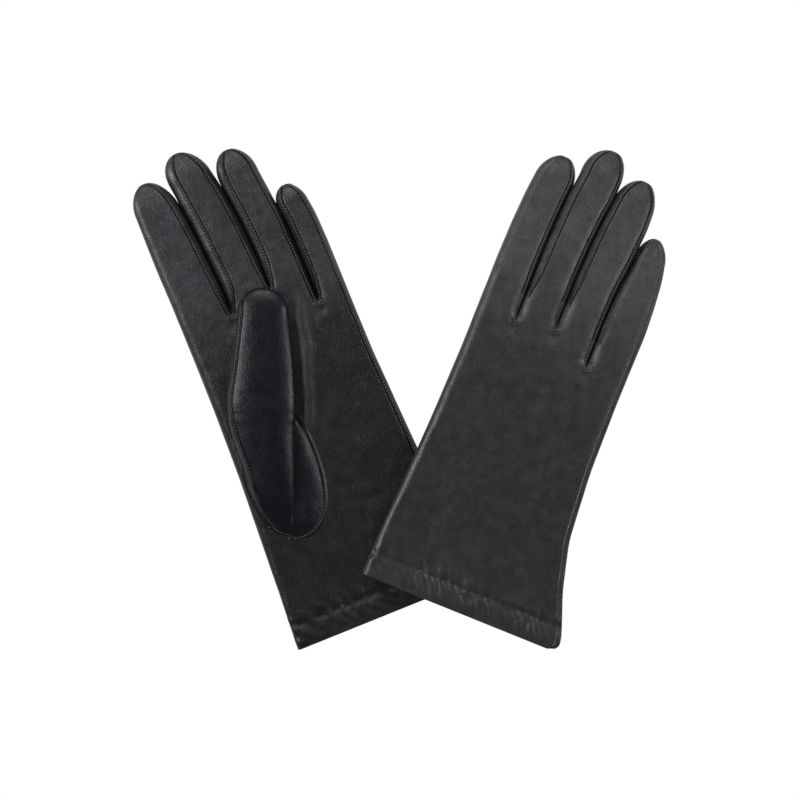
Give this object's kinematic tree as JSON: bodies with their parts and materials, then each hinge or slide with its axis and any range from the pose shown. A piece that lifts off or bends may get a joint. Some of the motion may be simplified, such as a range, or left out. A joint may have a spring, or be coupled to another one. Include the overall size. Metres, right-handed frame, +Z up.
{
  "type": "pair of dress gloves",
  "caption": "Pair of lined black leather gloves lying crossed at the cuffs, palm up and back up; separate stalls with side strips that fold at their roots",
  "frame": {"origin": "middle of the bounding box in plan, at the lowest point of the gloves, where they lie on the table", "axes": "+X across the pair from the left glove to the right one, +Y from the cuffs towards the fingertips, +Z up from the table"},
  "size_m": [0.301, 0.2824, 0.0222],
  "materials": {
    "left_leather": "satin",
    "right_leather": "satin",
    "lining": "matte",
    "thread": "matte"
  },
  "bodies": {
    "left_hand": {"left_cuff_hem": "left_leather", "left_hand_leather": "left_leather", "left_hand_lining": "lining", "left_hem_thread": "thread", "left_side_seam_thread": "thread", "left_thumb_base": "left_leather", "left_thumb_hole_thread": "thread"},
    "left_index": {"left_index_lining": "lining", "left_index_stall": "left_leather", "left_index_strip_by_middle": "left_leather", "left_index_thread": "thread"},
    "left_little": {"left_little_lining": "lining", "left_little_stall": "left_leather", "left_little_strip_by_ring": "left_leather", "left_little_thread": "thread"},
    "left_middle": {"left_middle_lining": "lining", "left_middle_stall": "left_leather", "left_middle_strip_by_index": "left_leather", "left_middle_strip_by_ring": "left_leather", "left_middle_thread": "thread"},
    "left_ring": {"left_ring_lining": "lining", "left_ring_stall": "left_leather", "left_ring_strip_by_little": "left_leather", "left_ring_strip_by_middle": "left_leather", "left_ring_thread": "thread"},
    "left_thumb": {"left_thumb_lining": "lining", "left_thumb_stall": "left_leather", "left_thumb_thread": "thread"},
    "right_hand": {"right_cuff_hem": "right_leather", "right_hand_leather": "right_leather", "right_hand_lining": "lining", "right_hem_thread": "thread", "right_side_seam_thread": "thread", "right_thumb_base": "right_leather", "right_thumb_hole_thread": "thread"},
    "right_index": {"right_index_lining": "lining", "right_index_stall": "right_leather", "right_index_strip_by_middle": "right_leather", "right_index_thread": "thread"},
    "right_little": {"right_little_lining": "lining", "right_little_stall": "right_leather", "right_little_strip_by_ring": "right_leather", "right_little_thread": "thread"},
    "right_middle": {"right_middle_lining": "lining", "right_middle_stall": "right_leather", "right_middle_strip_by_index": "right_leather", "right_middle_strip_by_ring": "right_leather", "right_middle_thread": "thread"},
    "right_ring": {"right_ring_lining": "lining", "right_ring_stall": "right_leather", "right_ring_strip_by_little": "right_leather", "right_ring_strip_by_middle": "right_leather", "right_ring_thread": "thread"},
    "right_thumb": {"right_thumb_lining": "lining", "right_thumb_stall": "right_leather", "right_thumb_thread": "thread"}
  },
  "joints": [
    {"name": "left_thumb_fold", "type": "hinge", "parent": "left_hand", "child": "left_thumb", "pos_m": [-0.07609, -0.00941, 0.02218], "axis": [1, 0, 0], "range_deg": [0, 75], "stiffness_Nm_per_rad": 0.02},
    {"name": "left_index_fold", "type": "hinge", "parent": "left_hand", "child": "left_index", "pos_m": [-0.10885, 0.04584, 0.01138], "axis": [0.9272, 0.3746, 0], "range_deg": [-15, 80], "stiffness_Nm_per_rad": 0.02},
    {"name": "left_middle_fold", "type": "hinge", "parent": "left_hand", "child": "left_middle", "pos_m": [-0.08621, 0.06307, 0.01138], "axis": [0.9272, 0.3746, 0], "range_deg": [-15, 80], "stiffness_Nm_per_rad": 0.02},
    {"name": "left_ring_fold", "type": "hinge", "parent": "left_hand", "child": "left_ring", "pos_m": [-0.06365, 0.07057, 0.01138], "axis": [0.9272, 0.3746, 0], "range_deg": [-15, 80], "stiffness_Nm_per_rad": 0.02},
    {"name": "left_little_fold", "type": "hinge", "parent": "left_hand", "child": "left_little", "pos_m": [-0.03877, 0.06229, 0.01138], "axis": [0.9272, 0.3746, 0], "range_deg": [-15, 80], "stiffness_Nm_per_rad": 0.02},
    {"name": "right_thumb_fold", "type": "hinge", "parent": "right_hand", "child": "right_thumb", "pos_m": [0.05024, 0.00153, 0], "axis": [-0.7193, 0.6947, 0], "range_deg": [0, 75], "stiffness_Nm_per_rad": 0.02},
    {"name": "right_index_fold", "type": "hinge", "parent": "right_hand", "child": "right_index", "pos_m": [0.06079, 0.0663, 0.01069], "axis": [-0.9272, 0.3746, 0], "range_deg": [-15, 80], "stiffness_Nm_per_rad": 0.02},
    {"name": "right_middle_fold", "type": "hinge", "parent": "right_hand", "child": "right_middle", "pos_m": [0.08414, 0.06333, 0.0106], "axis": [-0.9272, 0.3746, 0], "range_deg": [-15, 80], "stiffness_Nm_per_rad": 0.02},
    {"name": "right_ring_fold", "type": "hinge", "parent": "right_hand", "child": "right_ring", "pos_m": [0.10512, 0.05378, 0.01061], "axis": [-0.9272, 0.3746, 0], "range_deg": [-15, 80], "stiffness_Nm_per_rad": 0.02},
    {"name": "right_little_fold", "type": "hinge", "parent": "right_hand", "child": "right_little", "pos_m": [0.12159, 0.03094, 0.0108], "axis": [-0.9272, 0.3746, 0], "range_deg": [-15, 80], "stiffness_Nm_per_rad": 0.02},
    {"name": "right_glove_lift", "type": "slide", "parent": "left_hand", "child": "right_hand", "axis": [0, 0, 1], "range_m": [0, 0.15]}
  ]
}
